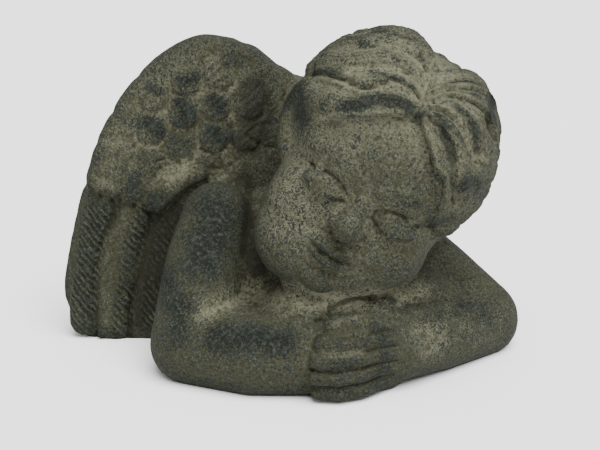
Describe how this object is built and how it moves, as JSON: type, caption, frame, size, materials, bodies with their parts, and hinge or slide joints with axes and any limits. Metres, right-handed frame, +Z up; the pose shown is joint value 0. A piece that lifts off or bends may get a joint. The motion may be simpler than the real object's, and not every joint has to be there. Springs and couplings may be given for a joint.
{
  "type": "sleeping angel statue",
  "caption": "Cast stone garden statue of a sleeping winged child, resting its head on folded arms, with a flat underside.",
  "frame": {"origin": "centre of the bounding box, on the flat underside", "axes": "+X to the angel's left, the widest way; -Y is the front, where the hand lies; +Z up"},
  "size_m": [0.3428, 0.2376, 0.2559],
  "materials": {
    "cast_stone": "rough, antiqued, khaki in the hollows and slate on the high points"
  },
  "bodies": {
    "root": {"sleeping_angel": "cast_stone"}
  },
  "joints": []
}
